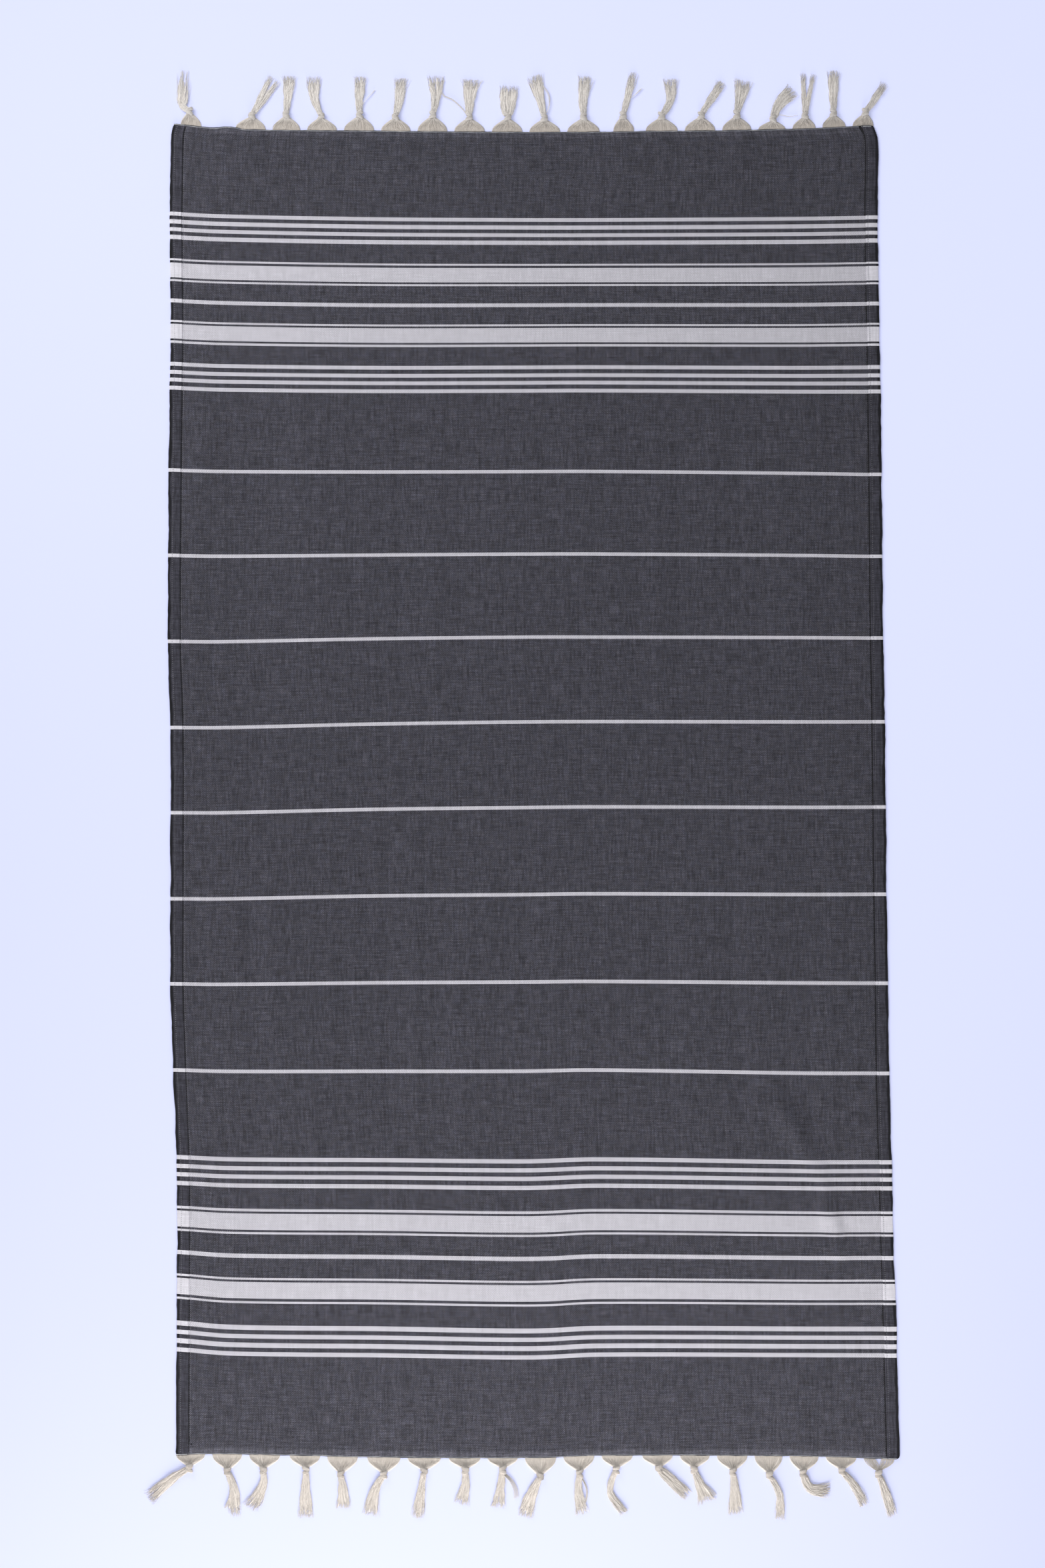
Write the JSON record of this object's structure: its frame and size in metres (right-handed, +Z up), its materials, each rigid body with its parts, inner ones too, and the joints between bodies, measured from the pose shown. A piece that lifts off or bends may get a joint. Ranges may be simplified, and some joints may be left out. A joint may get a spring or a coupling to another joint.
{
  "type": "fouta towel",
  "caption": "Flat-woven cotton fouta towel laid out flat: grey twill with white cross stripes, turned side hems and knotted warp tassels along both ends.",
  "frame": {"origin": "on the surface that the towel lies on, under the middle of its outline with the tassels", "axes": "+X across the cloth to the right, +Y along the cloth to the top fringe, +Z up from the face"},
  "size_m": [0.986, 1.926, 0.007],
  "materials": {
    "twill": "matt twill",
    "hem": "matt, fine vertical ribs",
    "warp_yarn": "matt cotton yarn"
  },
  "bodies": {
    "root": {"cloth_panel": "twill", "side_hem_left": "hem", "side_hem_right": "hem", "tassel_top_01": "warp_yarn", "tassel_top_02": "warp_yarn", "tassel_top_03": "warp_yarn", "tassel_top_04": "warp_yarn", "tassel_top_05": "warp_yarn", "tassel_top_06": "warp_yarn", "tassel_top_07": "warp_yarn", "tassel_top_08": "warp_yarn", "tassel_top_09": "warp_yarn", "tassel_top_10": "warp_yarn", "tassel_top_11": "warp_yarn", "tassel_top_12": "warp_yarn", "tassel_top_13": "warp_yarn", "tassel_top_14": "warp_yarn", "tassel_top_15": "warp_yarn", "tassel_top_16": "warp_yarn", "tassel_top_17": "warp_yarn", "tassel_top_18": "warp_yarn", "tassel_top_19": "warp_yarn", "tassel_bottom_01": "warp_yarn", "tassel_bottom_02": "warp_yarn", "tassel_bottom_03": "warp_yarn", "tassel_bottom_04": "warp_yarn", "tassel_bottom_05": "warp_yarn", "tassel_bottom_06": "warp_yarn", "tassel_bottom_07": "warp_yarn", "tassel_bottom_08": "warp_yarn", "tassel_bottom_09": "warp_yarn", "tassel_bottom_10": "warp_yarn", "tassel_bottom_11": "warp_yarn", "tassel_bottom_12": "warp_yarn", "tassel_bottom_13": "warp_yarn", "tassel_bottom_14": "warp_yarn", "tassel_bottom_15": "warp_yarn", "tassel_bottom_16": "warp_yarn", "tassel_bottom_17": "warp_yarn", "tassel_bottom_18": "warp_yarn", "tassel_bottom_19": "warp_yarn"}
  },
  "joints": []
}
